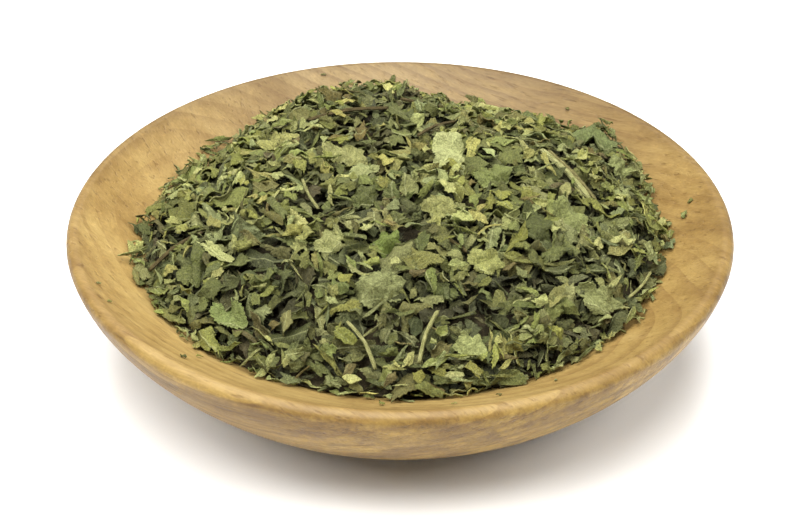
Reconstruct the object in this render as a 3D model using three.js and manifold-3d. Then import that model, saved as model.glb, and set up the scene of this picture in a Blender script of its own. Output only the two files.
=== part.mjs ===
// A turned wooden bowl heaped with dried, cut parsley: crumpled leaf flakes and short pieces of stalk.
// Millimetres, +Z up. The origin lies on the surface the bowl stands on, under the middle of the bowl.

import * as THREE from 'three';
import { mergeVertices } from 'three/addons/utils/BufferGeometryUtils.js';
import Module from 'manifold-3d';

const wasm = await Module();
wasm.setup();

// ---- driving dimensions -------------------------------------------------------------------------

// Bowl
const RIM_RADIUS = 76;
const RIM_HEIGHT = 36;
const LIP_ROUNDING = 2;
const LIP_SWEEP = 123; // degrees that the rounded lip turns before the hollow starts
const FLOOR_THICKNESS = 10;
const HOLLOW_POWER = 1.86; // higher: a flatter middle and a steeper side
const FOOT_RADIUS = 40;
const FOOT_CHAMFER = 0.8;
const FOOT_RING_WIDTH = 11;
const FOOT_RECESS = 1;
const BOWL_SIDES = 72;

// Heap
const HEAP_RADIUS = 61; // where the heap meets the side of the hollow
const HEAP_SHIFT = 0.8; // how far the heap lies towards the back
const HEAP_OVAL = 0.4;
const HEAP_BULGE = { angle: 33, reach: 3.5, spread: 13 }; // degrees: where it reaches further up the side
const HEAP_EDGE_DEPTH = 1; // how deep the flakes lie along the heap's edge
const HEAP_PEAK = 48;
const HEAP_POWER = 3; // higher: a flatter top and a steeper edge
const HEAP_SWELLS = [
  { x: -12, y: 46, rise: 4, spread: 13 },
  { x: 54, y: 35, rise: 4.5, spread: 6.5 },
  { x: 28, y: 34, rise: -3, spread: 10 },
  { x: -50, y: 22, rise: -5, spread: 9 },
];
const CORE_DEPTH = 2.3; // how far the close-packed core lies below the tops of the flakes
const CORE_INSET = 2; // how far the core stays inside the heap's edge
const CORE_SIDES = 36;
const CORE_RINGS = [0.3, 0.55, 0.75, 0.9, 1];

// Flakes and stalks
const FLAKE_COUNT = 156;
const FLAKE_LENGTH = [10, 13.5];
const FLAKE_WIDTH = [0.6, 0.85]; // as a part of its length
const FLAKE_CURL = [-1.2, 1.6]; // how far its long edges rise
const FLAKE_TILT = [18, 36]; // degrees
const FLAKE_DEPTH = 0.9; // how far its middle lies below the tops of the flakes
const FLAKE_REACH = 0.97; // the outermost middles, as a part of the heap's radius
const FLAKE_POINTS = 7;
const LEAF_POINTS = 12;
const LEAF_DEPTH = 0.7; // how far a larger leaf's middle lies below the tops of the flakes
const LEAF_ROOM = 0.33; // no flake is centred nearer to a leaf's middle, as a part of its length
const STALK_ROOM = 2; // nor nearer to a stalk
const STALK_DEPTH = 0.5; // how far a stalk's middle lies below the tops of the flakes
const SHEET_THICKNESS = 0.7;
const NOTCH = 0.84; // every second corner of a flake lies this much further in
const TAPER = 0.22; // how much narrower a flake's far end is than its middle
const CRUMPLE = 0.5; // how far a flake's corners lie up or down at random
const STALK_SIDES = 6;
const STALK_STEPS = 4;

// Room between pieces that touch
const GAP = 0.3;

const WOOD = { color: 0xc6a064, roughness: 0.55 };
const LEAF_GREEN = { color: 0x8a9455, roughness: 0.9 };
const LEAF_PALE = { color: 0xb3b87c, roughness: 0.9 };
const LEAF_DARK = { color: 0x66703f, roughness: 0.9 };
const STALK_PALE = { color: 0xbfbd86, roughness: 0.85 };
const STALK_BROWN = { color: 0x8a7650, roughness: 0.85 };

// Larger leaf flakes on top: middle, size, the way the long side points, and the lean to the front.
const LEAVES = [
  { x: 11, y: 5, length: 14, width: 7.5, turn: 85, lean: 30, curl: 1.2, look: LEAF_PALE },
  { x: 21, y: -1, length: 10, width: 7, turn: 20, lean: 25, curl: -1, look: LEAF_GREEN },
  { x: 47, y: 30, length: 12, width: 6, turn: 160, lean: 15, curl: 1.2, look: LEAF_GREEN },
  { x: 52, y: 20, length: 8, width: 5.5, turn: 120, lean: 25, curl: 1.2, look: LEAF_PALE },
  { x: -13, y: 7, length: 13, width: 6, turn: -25, lean: 20, curl: 1.2, look: LEAF_PALE },
  { x: -29, y: 19, length: 12, width: 7, turn: -10, lean: 20, curl: -1, look: LEAF_PALE },
  { x: -49, y: -3, length: 10, width: 7, turn: 35, lean: 15, curl: 1.2, look: LEAF_DARK },
  { x: -4, y: -39, length: 12, width: 9, turn: 20, lean: 20, curl: 1.2, look: LEAF_GREEN },
  { x: -3, y: -27, length: 8, width: 6, turn: 45, lean: 20, curl: -1, look: LEAF_DARK },
  { x: -15, y: -26, length: 9, width: 6, turn: 75, lean: 15, curl: 1, look: LEAF_PALE },
  { x: -8, y: -11, length: 9, width: 5.5, turn: 60, lean: 20, curl: 1.4, look: LEAF_DARK },
  { x: 30, y: -19, length: 16, width: 5, turn: -70, lean: 15, curl: 0.8, look: LEAF_DARK },
  { x: 9, y: -15, length: 9, width: 7, turn: 0, lean: 20, curl: 1, look: LEAF_PALE },
  { x: 38, y: -12, length: 12, width: 8, turn: -30, lean: 15, curl: -1.2, look: LEAF_GREEN },
  { x: 43, y: -32, length: 12, width: 8, turn: -20, lean: 30, curl: 0.6, look: LEAF_GREEN },
  { x: -36, y: -39, length: 12, width: 6, turn: -45, lean: 0, curl: 1, look: LEAF_GREEN },
  { x: 15, y: -50, length: 8, width: 6, turn: 10, lean: 0, curl: 1, look: LEAF_PALE },
  { x: 18, y: -31, length: 9, width: 6, turn: -15, lean: 20, curl: 0.8, look: LEAF_PALE },
];

// Stalk pieces on top: both ends, thickness, and how much the middle bows sideways.
const STALKS = [
  { from: [33, 15], to: [43, -2], thickness: 1.5, bow: 0.4, look: STALK_PALE },
  { from: [34.6, 15.4], to: [44.6, -1.6], thickness: 1.2, bow: 0.4, look: STALK_PALE },
  { from: [-11, -46], to: [-5, -55], thickness: 1.4, bow: 0.8, look: STALK_PALE },
  { from: [-22, -3], to: [-18, -15], thickness: 1.2, bow: -0.5, look: STALK_PALE },
  { from: [-56, -17], to: [-44, -14], thickness: 1.6, bow: 1, look: STALK_BROWN },
  { from: [-22, 27], to: [-3, 30], thickness: 1.7, bow: 0.8, look: STALK_BROWN },
  { from: [0, 37], to: [15, 38], thickness: 1.5, bow: -0.6, look: STALK_BROWN },
  { from: [4, 16], to: [13, 27], thickness: 1.3, bow: 0.5, look: STALK_BROWN },
  { from: [4, -54], to: [8, -44], thickness: 1.5, bow: 0.6, look: STALK_PALE },
  { from: [50, -28], to: [56, -17], thickness: 1.2, bow: -0.5, look: STALK_PALE },
];

// ---- shared helpers -----------------------------------------------------------------------------

const radians = THREE.MathUtils.degToRad;

// A repeatable random draw between 0 and 1 (mulberry32).
function randomFrom(seed) {
  let state = seed;
  return () => {
    state = (state + 0x6d2b79f5) | 0;
    let mixed = Math.imul(state ^ (state >>> 15), 1 | state);
    mixed = (mixed + Math.imul(mixed ^ (mixed >>> 7), 61 | mixed)) ^ mixed;
    return ((mixed ^ (mixed >>> 14)) >>> 0) / 4294967296;
  };
}

function between(random, low, high) {
  return low + (high - low) * random();
}

function meshOf(name, geometry, look) {
  const material = new THREE.MeshStandardMaterial({ ...look, metalness: 0 });
  const mesh = new THREE.Mesh(geometry, material);
  mesh.name = name;
  return mesh;
}

// A closed geometry as a solid that can be joined and cut: corners merged, empty triangles left out.
function solidOf(geometry) {
  const bare = geometry.clone();
  bare.deleteAttribute('normal');
  bare.deleteAttribute('uv');
  const merged = mergeVertices(bare, 1e-4);
  const corners = merged.index.array;
  const kept = [];
  for (let i = 0; i < corners.length; i += 3) {
    const [a, b, c] = corners.slice(i, i + 3);
    if (a !== b && b !== c && c !== a) {
      kept.push(a, b, c);
    }
  }
  const vertProperties = Float32Array.from(merged.attributes.position.array);
  const triVerts = Uint32Array.from(kept);
  return new wasm.Manifold(new wasm.Mesh({ numProp: 3, vertProperties, triVerts }));
}

function geometryOf(solid) {
  const { vertProperties, triVerts } = solid.getMesh();
  const geometry = new THREE.BufferGeometry();
  geometry.setAttribute('position', new THREE.BufferAttribute(vertProperties, 3));
  geometry.setIndex(new THREE.BufferAttribute(triVerts, 1));
  geometry.computeVertexNormals();
  return geometry;
}

// Joins solids pair by pair, so that each join stays small.
function joined(solids) {
  let round = solids;
  while (round.length > 1) {
    const next = [];
    for (let i = 0; i < round.length; i += 2) {
      next.push(i + 1 < round.length ? round[i].add(round[i + 1]) : round[i]);
    }
    round = next;
  }
  return round[0];
}

// The main body of a solid, without loose scraps and with its sealed hollows filled.
function mainBody(solid) {
  const bodies = solid.decompose();
  return bodies.reduce((best, body) => (body.volume() > best.volume() ? body : best));
}

// ---- bowl ---------------------------------------------------------------------------------------

// Where the rounded lip hands over to the hollow.
const LIP_CENTRE = { r: RIM_RADIUS - LIP_ROUNDING, z: RIM_HEIGHT - LIP_ROUNDING };
const HOLLOW_RADIUS = LIP_CENTRE.r + LIP_ROUNDING * Math.cos(radians(LIP_SWEEP));
const HOLLOW_TOP = LIP_CENTRE.z + LIP_ROUNDING * Math.sin(radians(LIP_SWEEP));

function hollowHeight(r) {
  return FLOOR_THICKNESS + (HOLLOW_TOP - FLOOR_THICKNESS) * (r / HOLLOW_RADIUS) ** HOLLOW_POWER;
}

function bowlProfile() {
  const profile = [];
  const add = (r, z) => profile.push(new THREE.Vector2(r, z));

  add(0, FOOT_RECESS);
  add(FOOT_RADIUS - FOOT_RING_WIDTH - 1, FOOT_RECESS);
  add(FOOT_RADIUS - FOOT_RING_WIDTH, 0);
  add(FOOT_RADIUS - FOOT_CHAMFER, 0);

  // The outer wall flares from the foot and ends upright under the lip.
  const wall = new THREE.CubicBezierCurve(
    new THREE.Vector2(FOOT_RADIUS, FOOT_CHAMFER),
    new THREE.Vector2(FOOT_RADIUS + 13, 4),
    new THREE.Vector2(RIM_RADIUS - 2.5, 22),
    new THREE.Vector2(RIM_RADIUS, LIP_CENTRE.z),
  );
  profile.push(...wall.getPoints(7));

  const lipSteps = 4;
  for (let i = 1; i <= lipSteps; i++) {
    const angle = radians((LIP_SWEEP * i) / lipSteps);
    add(LIP_CENTRE.r + LIP_ROUNDING * Math.cos(angle), LIP_CENTRE.z + LIP_ROUNDING * Math.sin(angle));
  }

  for (const part of [0.92, 0.83, 0.73, 0.62, 0.48, 0.3]) {
    add(HOLLOW_RADIUS * part, hollowHeight(HOLLOW_RADIUS * part));
  }
  add(0, FLOOR_THICKNESS);
  return profile;
}

function bowl() {
  const turned = new THREE.LatheGeometry(bowlProfile(), BOWL_SIDES);
  turned.rotateX(Math.PI / 2);
  return meshOf('bowl', geometryOf(solidOf(turned)), WOOD);
}

// ---- the heap's shape ---------------------------------------------------------------------------

function heapRadius(angle) {
  const turned = 2 * Math.sin(0.5 * (angle - radians(HEAP_BULGE.angle))) / radians(HEAP_BULGE.spread);
  const bulge = HEAP_BULGE.reach * Math.exp(-0.5 * turned ** 2);
  return HEAP_RADIUS + HEAP_SHIFT * Math.sin(angle) + HEAP_OVAL * Math.cos(2 * angle) + bulge;
}

// Height of the tops of the flakes over a point of the bowl.
function heapHeight(x, y) {
  const edge = heapRadius(Math.atan2(y, x));
  const part = Math.min(Math.hypot(x, y) / edge, 1);
  const edgeHeight = hollowHeight(edge) + HEAP_EDGE_DEPTH;
  let height = edgeHeight + (HEAP_PEAK - edgeHeight) * (1 - part ** HEAP_POWER);
  for (const swell of HEAP_SWELLS) {
    const away = Math.hypot(x - swell.x, y - swell.y) / swell.spread;
    height += swell.rise * Math.exp(-0.5 * away ** 2);
  }
  return height;
}

function heapNormal(x, y) {
  const step = 1.5;
  const slopeX = (heapHeight(x + step, y) - heapHeight(x - step, y)) / (2 * step);
  const slopeY = (heapHeight(x, y + step) - heapHeight(x, y - step)) / (2 * step);
  return new THREE.Vector3(-slopeX, -slopeY, 1).normalize();
}

// Lifts a point that would be too near the side of the hollow.
function clearOfBowl(point, room) {
  const lowest = hollowHeight(Math.min(Math.hypot(point.x, point.y), RIM_RADIUS)) + room;
  point.z = Math.max(point.z, lowest);
  return point;
}

// The close-packed inside of the heap. It fills the hollow and stays under the tops of the flakes.
function heapCore() {
  // A flat disc with a bottom and a top face, whose rings are then moved to where they belong.
  const under = [0, ...CORE_RINGS].map((part) => new THREE.Vector2(part, 0));
  const over = [0, ...CORE_RINGS].reverse().map((part) => new THREE.Vector2(part, 1));
  const shape = new THREE.LatheGeometry([...under, ...over], CORE_SIDES);
  shape.rotateX(Math.PI / 2);

  const positions = shape.attributes.position;
  const point = new THREE.Vector3();
  for (let i = 0; i < positions.count; i++) {
    point.fromBufferAttribute(positions, i);
    const isTop = point.z > 0.5;
    const part = Math.hypot(point.x, point.y);
    const angle = part > 1e-6 ? Math.atan2(point.y, point.x) : 0;
    const radius = part * (heapRadius(angle) - CORE_INSET);
    point.x = radius * Math.cos(angle);
    point.y = radius * Math.sin(angle);
    const bottom = hollowHeight(radius) + 2 * GAP;
    const top = Math.max(heapHeight(point.x, point.y) - CORE_DEPTH, bottom + 1);
    positions.setXYZ(i, point.x, point.y, isTop ? top : bottom);
  }
  return solidOf(shape);
}

// ---- flakes, leaves and stalks ------------------------------------------------------------------

// A thin sheet round a middle point, with the same triangles on both faces.
function sheet(middle, outline, up, thickness) {
  const count = outline.length;
  const half = up.clone().multiplyScalar(thickness / 2);
  const corners = [];
  for (const side of [1, -1]) {
    for (const point of [...outline, middle]) {
      const corner = point.clone().addScaledVector(half, side);
      corners.push(corner.x, corner.y, corner.z);
    }
  }
  const faces = [];
  const under = count + 1;
  for (let i = 0; i < count; i++) {
    const next = (i + 1) % count;
    faces.push(count, i, next);
    faces.push(under + count, under + next, under + i);
    faces.push(i, under + i, under + next);
    faces.push(i, under + next, next);
  }
  const geometry = new THREE.BufferGeometry();
  geometry.setAttribute('position', new THREE.Float32BufferAttribute(corners, 3));
  geometry.setIndex(faces);
  return geometry;
}

// A leaf flake with a toothed edge, curled across its width.
// place holds its middle, its way up and the way its long side points.
function flake(place, size, points, random, margin = 0) {
  const along = place.along.clone().addScaledVector(place.up, -place.along.dot(place.up)).normalize();
  const across = new THREE.Vector3().crossVectors(place.up, along);
  const outline = [];
  for (let i = 0; i < points; i++) {
    const angle = (2 * Math.PI * (i + between(random, -0.25, 0.25))) / points;
    const reach = (i % 2 ? NOTCH : 1) * between(random, 0.86, 1.1);
    const u = 0.5 * size.length * reach * Math.cos(angle);
    const v = 0.5 * size.width * reach * Math.sin(angle) * (1 - TAPER * Math.cos(angle));
    const height = size.curl * (2 * v / size.width) ** 2 + between(random, -CRUMPLE, CRUMPLE);
    const grow = 1 + margin / Math.hypot(u, v);
    const corner = place.middle.clone().addScaledVector(along, u * grow).addScaledVector(across, v * grow);
    corner.addScaledVector(place.up, height);
    outline.push(clearOfBowl(corner, SHEET_THICKNESS + 2 * GAP));
  }
  return sheet(place.middle, outline, place.up, SHEET_THICKNESS + 2 * margin);
}

// How a larger leaf lies on the heap: leaning towards the front, with its middle at the flakes' tops.
function leafPlace(leaf) {
  const up = heapNormal(leaf.x, leaf.y).applyAxisAngle(new THREE.Vector3(1, 0, 0), radians(leaf.lean));
  const middle = new THREE.Vector3(leaf.x, leaf.y, heapHeight(leaf.x, leaf.y) - LEAF_DEPTH);
  const along = new THREE.Vector3(Math.cos(radians(leaf.turn)), Math.sin(radians(leaf.turn)), 0);
  return { middle, up, along };
}

// A leaf's own shape, or with a margin the room that the heap leaves for it.
function leafGeometry(leaf, index, margin) {
  return flake(leafPlace(leaf), leaf, LEAF_POINTS, randomFrom(500 + index), margin);
}

// A stalk piece follows the heap from end to end and bows a little to one side.
function stalkGeometry(stalk, margin) {
  const [start, end] = [stalk.from, stalk.to].map(([x, y]) => new THREE.Vector2(x, y));
  const sideways = end.clone().sub(start).normalize().rotateAround(new THREE.Vector2(), Math.PI / 2);
  const radius = stalk.thickness / 2;
  const points = [0, 0.5, 1].map((part) => {
    const bow = stalk.bow * Math.sin(Math.PI * part);
    const { x, y } = start.clone().lerp(end, part).addScaledVector(sideways, bow);
    const point = new THREE.Vector3(x, y, heapHeight(x, y) - STALK_DEPTH);
    return clearOfBowl(point, 2 * radius);
  });
  if (margin > 0) {
    const lengthen = points[2].clone().sub(points[0]).setLength(margin);
    points[0].sub(lengthen);
    points[2].add(lengthen);
  }
  const section = new THREE.Shape();
  for (let i = 0; i < STALK_SIDES; i++) {
    const angle = (2 * Math.PI * i) / STALK_SIDES;
    const point = [(radius + margin) * Math.cos(angle), (radius + margin) * Math.sin(angle)];
    if (i === 0) {
      section.moveTo(...point);
    } else {
      section.lineTo(...point);
    }
  }
  const extrudePath = new THREE.CatmullRomCurve3(points);
  return new THREE.ExtrudeGeometry(section, { steps: STALK_STEPS, extrudePath, bevelEnabled: false });
}

// Flakes stay off the larger pieces, so that those show.
function isTaken(x, y) {
  const underLeaf = LEAVES.some((leaf) => Math.hypot(x - leaf.x, y - leaf.y) < LEAF_ROOM * leaf.length);
  const underStalk = STALKS.some((stalk) => {
    const [start, end] = [stalk.from, stalk.to].map((spot) => new THREE.Vector3(...spot, 0));
    const spot = new THREE.Vector3(x, y, 0);
    const nearest = new THREE.Line3(start, end).closestPointToPoint(spot, true, new THREE.Vector3());
    return nearest.distanceTo(spot) < STALK_ROOM;
  });
  return underLeaf || underStalk;
}

// The flakes of the heap, spread evenly in a spiral and tipped every way, their low sides sunk in the core.
function heapFlakes() {
  const random = randomFrom(11);
  const goldenAngle = Math.PI * (3 - Math.sqrt(5));
  const flakes = [];
  for (let i = 0; i < FLAKE_COUNT; i++) {
    const angle = i * goldenAngle + between(random, -0.03, 0.03);
    const part = Math.sqrt((i + 0.5) / FLAKE_COUNT) * FLAKE_REACH;
    const x = part * heapRadius(angle) * Math.cos(angle);
    const y = part * heapRadius(angle) * Math.sin(angle);
    const length = between(random, ...FLAKE_LENGTH);
    const width = length * between(random, ...FLAKE_WIDTH);
    const curl = between(random, ...FLAKE_CURL);
    const heading = between(random, 0, 2 * Math.PI);
    const along = new THREE.Vector3(Math.cos(heading), Math.sin(heading), 0);
    const tipAxis = new THREE.Vector3(Math.cos(heading + 1.2), Math.sin(heading + 1.2), 0);
    const up = heapNormal(x, y).applyAxisAngle(tipAxis, radians(between(random, ...FLAKE_TILT)));
    const middle = clearOfBowl(new THREE.Vector3(x, y, heapHeight(x, y) - FLAKE_DEPTH), 4 * GAP);
    const shape = flake({ middle, up, along }, { length, width, curl }, FLAKE_POINTS, random);
    if (!isTaken(x, y)) {
      flakes.push(solidOf(shape));
    }
  }
  return flakes;
}

function heap() {
  const room = [
    ...LEAVES.map((leaf, index) => solidOf(leafGeometry(leaf, index, GAP))),
    ...STALKS.map((stalk) => solidOf(stalkGeometry(stalk, GAP))),
  ];
  const packed = joined([heapCore(), ...heapFlakes()]);
  const cut = room.reduce((solid, piece) => solid.subtract(piece), packed);
  return meshOf('parsley_heap', geometryOf(mainBody(cut)), LEAF_GREEN);
}

function numbered(name, index) {
  return `${name}_${String(index + 1).padStart(2, '0')}`;
}

// ---- the whole object ---------------------------------------------------------------------------

const model = new THREE.Group();
model.add(bowl());
model.add(heap());
LEAVES.forEach((leaf, index) => {
  model.add(meshOf(numbered('leaf_flake', index), leafGeometry(leaf, index, 0), leaf.look));
});
STALKS.forEach((stalk, index) => {
  model.add(meshOf(numbered('stalk_piece', index), stalkGeometry(stalk, 0), stalk.look));
});

export default model;
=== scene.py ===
"""A small turned wooden bowl heaped with dried, cut parsley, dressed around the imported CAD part."""

import math
from collections import namedtuple

import bpy
import numpy as np
from mathutils import Matrix, Vector
from mathutils.bvhtree import BVHTree


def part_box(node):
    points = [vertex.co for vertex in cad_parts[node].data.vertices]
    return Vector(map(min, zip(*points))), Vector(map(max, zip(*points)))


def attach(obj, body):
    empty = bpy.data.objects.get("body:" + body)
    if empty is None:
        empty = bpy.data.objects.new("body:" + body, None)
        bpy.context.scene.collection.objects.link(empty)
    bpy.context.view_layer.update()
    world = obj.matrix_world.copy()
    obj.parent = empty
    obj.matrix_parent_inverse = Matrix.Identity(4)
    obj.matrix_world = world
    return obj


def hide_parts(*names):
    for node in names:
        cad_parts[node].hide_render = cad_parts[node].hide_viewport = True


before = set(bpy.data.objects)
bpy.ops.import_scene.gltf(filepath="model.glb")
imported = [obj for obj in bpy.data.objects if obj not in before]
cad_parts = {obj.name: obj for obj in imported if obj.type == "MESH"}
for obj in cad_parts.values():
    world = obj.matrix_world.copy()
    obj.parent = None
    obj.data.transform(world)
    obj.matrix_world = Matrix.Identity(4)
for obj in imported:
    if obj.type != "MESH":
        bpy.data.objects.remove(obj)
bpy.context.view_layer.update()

MM = 0.001  # shapes are worked out in millimetres and made in metres

# ---- named sizes, in millimetres ----

# The bowl, as the CAD makes it
RIM_RADIUS = 76.0
RIM_HEIGHT = 36.0
LIP_ROUNDING = 2.0
LIP_SWEEP = math.radians(123)
FLOOR_THICKNESS = 10.0
HOLLOW_POWER = 1.86
FOOT_RADIUS = 40.0
FOOT_CHAMFER = 0.8
FOOT_RING_WIDTH = 11.0
FOOT_RECESS = 1.0
BOWL_SIDES = 256

# The heap
GRID_STEP = 0.5  # of the map of heights that the flakes come to rest on
HIGHEST = 51.3  # of any loose flake
LOOSE_DEPTH = 6.0  # how deep the loose flakes lie on the close-packed core
FLAKE_THICKNESS = 0.16

# Random draws
HEAP_SEED = 4
LEAF_SEED = 700
STALK_SEED = 800
OFFSET_SEED = 9000
PHASES = (0.0, 6.28)  # of waves


# ---- camera, light and floor ----

CAMERA_TARGET = (0.0, 0.0, 21.6)
CAMERA_DISTANCE = 443.9
CAMERA_ELEVATION = math.radians(33.63)
CAMERA_LENS = 85.5
CAMERA_ROLL = math.radians(0.19)

# The studio, in metres and watts
WORLD_COLOR = (1.0, 0.84, 0.68, 1.0)
WORLD_STRENGTH = 0.04
SKY_POWER = 2.4
SKY_WIDTH = math.radians(34)
SKY_DIRECTION = (-0.04, 0.42, 1.05)
SOFTBOX_COLOR = (1.0, 0.99, 0.97)
SOFTBOX_TARGET = (0.0, 0.0, 0.03)
Softbox = namedtuple("Softbox", "name place size power")
SOFTBOXES = [
    Softbox("key softbox", (-0.08, -0.36, 1.05), 0.75, 17.0),
    Softbox("left softbox", (-0.70, -0.45, 0.90), 0.6, 9.0),
    Softbox("right softbox", (0.72, -0.35, 0.85), 0.6, 7.0),
]
FLOOR_RADIUS = 2.6
FLOOR_BEND = 0.6
FLOOR_WALL = 0.8
FLOOR_SIDES = 96
FLOOR_GREY = 0.93


def add_object(name, data):
    thing = bpy.data.objects.new(name, data)
    bpy.context.scene.collection.objects.link(thing)
    return thing


def smooth_mesh(name, points, faces, material):
    mesh = bpy.data.meshes.new(name)
    mesh.from_pydata(points, [], faces)
    mesh.polygons.foreach_set("use_smooth", np.ones(len(faces), bool))
    mesh.materials.append(material)
    return mesh


def add_camera():
    data = bpy.data.cameras.new("camera")
    data.lens = CAMERA_LENS
    data.sensor_width = 36.0
    camera = add_object("camera", data)
    back = Vector((0.0, -math.cos(CAMERA_ELEVATION), math.sin(CAMERA_ELEVATION)))
    place = (Vector(CAMERA_TARGET) + back * CAMERA_DISTANCE) * MM
    turn = back.to_track_quat("Z", "Y").to_matrix().to_4x4() @ Matrix.Rotation(CAMERA_ROLL, 4, "Z")
    camera.matrix_world = Matrix.Translation(place) @ turn
    bpy.context.scene.camera = camera


def add_lights():
    world = bpy.data.worlds.new("studio")
    world.use_nodes = True
    background = world.node_tree.nodes["Background"]
    background.inputs["Color"].default_value = WORLD_COLOR
    background.inputs["Strength"].default_value = WORLD_STRENGTH
    bpy.context.scene.world = world

    sky = bpy.data.lights.new("sky panel", "SUN")
    sky.energy = SKY_POWER
    sky.angle = SKY_WIDTH
    panel = add_object("sky panel", sky)
    panel.rotation_euler = Vector(SKY_DIRECTION).to_track_quat("Z", "Y").to_euler()
    for box in SOFTBOXES:
        data = bpy.data.lights.new(box.name, "AREA")
        data.shape = "DISK"
        data.size = box.size
        data.energy = box.power
        data.color = SOFTBOX_COLOR
        light = add_object(box.name, data)
        light.location = box.place
        aim = Vector(box.place) - Vector(SOFTBOX_TARGET)
        light.rotation_euler = aim.to_track_quat("Z", "Y").to_euler()
    bpy.context.scene.view_settings.view_transform = "Standard"


def add_floor():
    """A floor that curves up into a low wall all round: it is pale behind the bowl from every side."""
    turn = np.arange(FLOOR_SIDES) * 2 * math.pi / FLOOR_SIDES
    inner = FLOOR_RADIUS - FLOOR_BEND
    rise = np.linspace(0.0, 0.5 * math.pi, 9)
    profile = [(FLOOR_BEND, 0.0)]
    profile += [(inner + FLOOR_BEND * math.sin(a), FLOOR_BEND - FLOOR_BEND * math.cos(a)) for a in rise]
    profile.append((FLOOR_RADIUS, FLOOR_WALL))
    corners = [(0.0, 0.0, 0.0)] + [(r * math.cos(a), r * math.sin(a), z) for r, z in profile for a in turn]
    faces = [(0, 1 + k, 1 + (k + 1) % FLOOR_SIDES) for k in range(FLOOR_SIDES)]
    for ring in range(len(profile) - 1):
        for k in range(FLOOR_SIDES):
            here, after = (1 + ring * FLOOR_SIDES + side for side in (k, (k + 1) % FLOOR_SIDES))
            faces.append((here, here + FLOOR_SIDES, after + FLOOR_SIDES, after))
    n = Nodes("floor_white")
    n.give(n.shader, "Base Color", (FLOOR_GREY, FLOOR_GREY, FLOOR_GREY, 1.0))
    n.give(n.shader, "Roughness", 0.9)
    floor = add_object("floor", smooth_mesh("floor", corners, faces, n.material))


# ---- node helpers ----


class Nodes:
    """Adds shader nodes to a material, each with its inputs given by name or number."""

    def __init__(self, name):
        self.material = bpy.data.materials.new(name)
        self.material.use_nodes = True
        self.tree = self.material.node_tree
        self.shader = self.tree.nodes["Principled BSDF"]

    def give(self, node, key, value):
        socket = node.inputs[key]
        if isinstance(value, bpy.types.NodeSocket):
            self.tree.links.new(value, socket)
        else:
            socket.default_value = value

    def add(self, kind, inputs=None, **settings):
        node = self.tree.nodes.new("ShaderNode" + kind)
        for key, value in settings.items():
            setattr(node, key, value)
        for key, value in (inputs or {}).items():
            self.give(node, key, value)
        return node

    def math(self, operation, first, second=0.0):
        return self.add("Math", {0: first, 1: second}, operation=operation).outputs[0]

    def times(self, first, second):
        return self.math("MULTIPLY", first, second)

    def plus(self, first, second):
        return self.math("ADD", first, second)

    def vector(self, operation, first, second):
        return self.add("VectorMath", {0: first, 1: second}, operation=operation).outputs[0]

    def stretched(self, vector, scale):
        return self.add("Mapping", {"Vector": vector, "Scale": scale}).outputs[0]

    def noise(self, vector, scale, detail=2.0, roughness=0.5):
        inputs = {"Vector": vector, "Scale": scale, "Detail": detail, "Roughness": roughness}
        return self.add("TexNoise", inputs).outputs["Fac"]

    def ramp(self, value, stops):
        node = self.add("ValToRGB", {0: value})
        ramp = node.color_ramp
        while len(ramp.elements) < len(stops):
            ramp.elements.new(0.5)
        for element, (position, color) in zip(ramp.elements, stops):
            element.position = position
            element.color = (*color, 1.0)
        return node.outputs["Color"]

    def grey(self, value, low, high, out_low=0.0, out_high=1.0):
        inputs = {"Value": value, "From Min": low, "From Max": high, "To Min": out_low, "To Max": out_high}
        return self.add("MapRange", inputs, clamp=True).outputs[0]

    def mix(self, amount, first, second, blend="MIX"):
        node = self.add("Mix", data_type="RGBA", blend_type=blend)
        self.give(node, 0, amount)
        self.give(node, 6, first)
        self.give(node, 7, second)
        return node.outputs[2]

    def tinted(self, color, factors, amount):
        """The colour multiplied by the factors, as far as the amount says."""
        return self.mix(amount, color, (*factors, 1.0), "MULTIPLY")

    def bump(self, height, strength, distance):
        return self.add("Bump", {"Height": height, "Strength": strength, "Distance": distance}).outputs[0]


def linear(red, green, blue):
    """An everyday 0 to 255 colour as the shader's own numbers."""
    values = []
    for value in (red, green, blue):
        part = value / 255.0
        values.append(part / 12.92 if part <= 0.04045 else ((part + 0.055) / 1.055) ** 2.4)
    return tuple(values)


# ---- bowl ----

LIP_CENTRE = (RIM_RADIUS - LIP_ROUNDING, RIM_HEIGHT - LIP_ROUNDING)
HOLLOW_RADIUS = LIP_CENTRE[0] + LIP_ROUNDING * math.cos(LIP_SWEEP)
HOLLOW_TOP = LIP_CENTRE[1] + LIP_ROUNDING * math.sin(LIP_SWEEP)


def hollow_height(radius):
    part = np.minimum(radius, RIM_RADIUS) / HOLLOW_RADIUS
    return FLOOR_THICKNESS + (HOLLOW_TOP - FLOOR_THICKNESS) * part ** HOLLOW_POWER


def bezier(points, count):
    part = np.linspace(0.0, 1.0, count)[:, None]
    a, b, c, d = (np.array(point, float) for point in points)
    keep = 1.0 - part
    return a * keep ** 3 + 3 * b * keep ** 2 * part + 3 * c * keep * part ** 2 + d * part ** 3


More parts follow.
